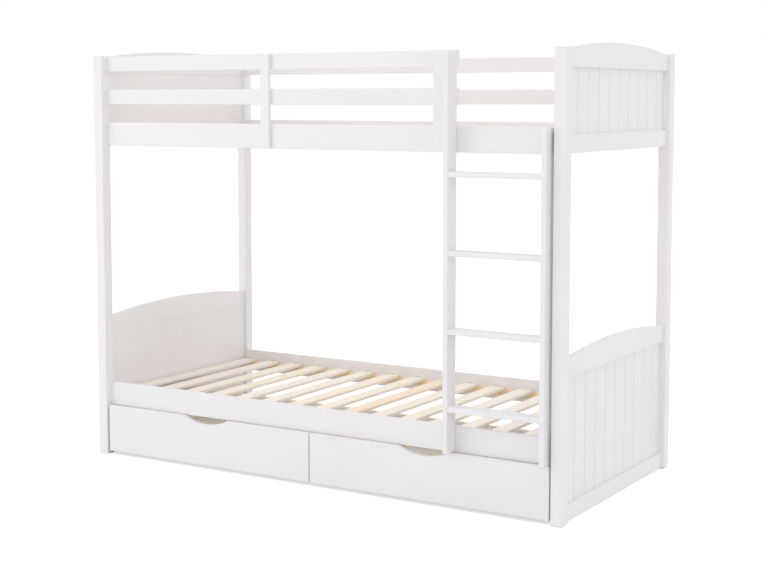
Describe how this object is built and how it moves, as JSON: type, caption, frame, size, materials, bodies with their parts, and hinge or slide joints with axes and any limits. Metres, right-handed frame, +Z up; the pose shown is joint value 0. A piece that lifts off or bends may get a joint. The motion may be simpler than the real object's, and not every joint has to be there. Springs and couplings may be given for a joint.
{
  "type": "bunk bed",
  "caption": "White pine bunk bed with arched grooved ends, slatted bases, a fixed front ladder, upper guard boards and castored drawers under the lower bunk.",
  "frame": {"origin": "on the floor, at the middle of the outline's length and width, ladder included", "axes": "+X along the bed towards the ladder end, +Y from the ladder side to the back, +Z up"},
  "size_m": [2.08, 1.034, 1.6469],
  "materials": {
    "white_paint": "satin white paint over pine",
    "pine": "planed, unpainted pine",
    "castor_plastic": "moulded nylon",
    "cap_plastic": "white press-in caps",
    "zinc": "zinc-plated steel"
  },
  "bodies": {
    "frame": {"post_front_left": "white_paint", "post_front_right": "white_paint", "post_back_left": "white_paint", "post_back_right": "white_paint", "end_left_lower_top_rail": "white_paint", "end_left_lower_panel": "white_paint", "end_left_lower_bottom_rail": "white_paint", "end_left_upper_top_rail": "white_paint", "end_left_upper_panel": "white_paint", "end_left_upper_bottom_rail": "white_paint", "end_right_lower_top_rail": "white_paint", "end_right_lower_panel": "white_paint", "end_right_lower_bottom_rail": "white_paint", "end_right_upper_top_rail": "white_paint", "end_right_upper_panel": "white_paint", "end_right_upper_bottom_rail": "white_paint", "rail_front_lower": "white_paint", "rail_front_upper": "white_paint", "rail_back_lower": "white_paint", "rail_back_upper": "white_paint", "guard_front_middle": "white_paint", "guard_front_top": "white_paint", "guard_back_middle": "white_paint", "guard_back_top": "white_paint", "batten_front_middle": "white_paint", "batten_front_ladder": "white_paint", "batten_back_middle": "white_paint", "ladder_stile_left": "white_paint", "ladder_stile_right": "white_paint", "ladder_rung_1": "white_paint", "ladder_rung_2": "white_paint", "ladder_rung_3": "white_paint", "ladder_rung_4": "white_paint", "slats_lower": "pine", "slats_upper": "pine", "slat_bearers_lower": "pine", "slat_bearers_upper": "pine", "frame_bolts": "zinc", "barrel_nuts": "zinc", "bolt_caps": "cap_plastic"},
    "drawer_left": {"drawer_left_front": "white_paint", "drawer_left_side_left": "pine", "drawer_left_side_right": "pine", "drawer_left_back": "pine", "drawer_left_floor": "pine", "drawer_left_castor_forks": "zinc"},
    "drawer_left_wheel_front_left": {"drawer_left_wheel_front_left": "castor_plastic"},
    "drawer_left_wheel_front_right": {"drawer_left_wheel_front_right": "castor_plastic"},
    "drawer_left_wheel_back_left": {"drawer_left_wheel_back_left": "castor_plastic"},
    "drawer_left_wheel_back_right": {"drawer_left_wheel_back_right": "castor_plastic"},
    "drawer_right": {"drawer_right_front": "white_paint", "drawer_right_side_left": "pine", "drawer_right_side_right": "pine", "drawer_right_back": "pine", "drawer_right_floor": "pine", "drawer_right_castor_forks": "zinc"},
    "drawer_right_wheel_front_left": {"drawer_right_wheel_front_left": "castor_plastic"},
    "drawer_right_wheel_front_right": {"drawer_right_wheel_front_right": "castor_plastic"},
    "drawer_right_wheel_back_left": {"drawer_right_wheel_back_left": "castor_plastic"},
    "drawer_right_wheel_back_right": {"drawer_right_wheel_back_right": "castor_plastic"}
  },
  "joints": [
    {"name": "drawer_left_slide", "type": "slide", "parent": "frame", "child": "drawer_left", "axis": [0, -1, 0], "range_m": [0, 0.575]},
    {"name": "drawer_left_wheel_front_left_spin", "type": "hinge", "parent": "drawer_left", "child": "drawer_left_wheel_front_left", "pos_m": [-0.952, -0.388, 0.017], "axis": [1, 0, 0], "continuous": true},
    {"name": "drawer_left_wheel_front_right_spin", "type": "hinge", "parent": "drawer_left", "child": "drawer_left_wheel_front_right", "pos_m": [-0.0365, -0.388, 0.017], "axis": [1, 0, 0], "continuous": true},
    {"name": "drawer_left_wheel_back_left_spin", "type": "hinge", "parent": "drawer_left", "child": "drawer_left_wheel_back_left", "pos_m": [-0.952, 0.047, 0.017], "axis": [1, 0, 0], "continuous": true},
    {"name": "drawer_left_wheel_back_right_spin", "type": "hinge", "parent": "drawer_left", "child": "drawer_left_wheel_back_right", "pos_m": [-0.0365, 0.047, 0.017], "axis": [1, 0, 0], "continuous": true},
    {"name": "drawer_right_slide", "type": "slide", "parent": "frame", "child": "drawer_right", "axis": [0, -1, 0], "range_m": [0, 0.575]},
    {"name": "drawer_right_wheel_front_left_spin", "type": "hinge", "parent": "drawer_right", "child": "drawer_right_wheel_front_left", "pos_m": [0.0365, -0.388, 0.017], "axis": [1, 0, 0], "continuous": true},
    {"name": "drawer_right_wheel_front_right_spin", "type": "hinge", "parent": "drawer_right", "child": "drawer_right_wheel_front_right", "pos_m": [0.952, -0.388, 0.017], "axis": [1, 0, 0], "continuous": true},
    {"name": "drawer_right_wheel_back_left_spin", "type": "hinge", "parent": "drawer_right", "child": "drawer_right_wheel_back_left", "pos_m": [0.0365, 0.047, 0.017], "axis": [1, 0, 0], "continuous": true},
    {"name": "drawer_right_wheel_back_right_spin", "type": "hinge", "parent": "drawer_right", "child": "drawer_right_wheel_back_right", "pos_m": [0.952, 0.047, 0.017], "axis": [1, 0, 0], "continuous": true}
  ],
  "couplings": [
    {"joint": "drawer_left_wheel_front_left_spin", "follows": "drawer_left_slide", "rad_per_m": 58.824},
    {"joint": "drawer_left_wheel_front_right_spin", "follows": "drawer_left_slide", "rad_per_m": 58.824},
    {"joint": "drawer_left_wheel_back_left_spin", "follows": "drawer_left_slide", "rad_per_m": 58.824},
    {"joint": "drawer_left_wheel_back_right_spin", "follows": "drawer_left_slide", "rad_per_m": 58.824},
    {"joint": "drawer_right_wheel_front_left_spin", "follows": "drawer_right_slide", "rad_per_m": 58.824},
    {"joint": "drawer_right_wheel_front_right_spin", "follows": "drawer_right_slide", "rad_per_m": 58.824},
    {"joint": "drawer_right_wheel_back_left_spin", "follows": "drawer_right_slide", "rad_per_m": 58.824},
    {"joint": "drawer_right_wheel_back_right_spin", "follows": "drawer_right_slide", "rad_per_m": 58.824}
  ]
}
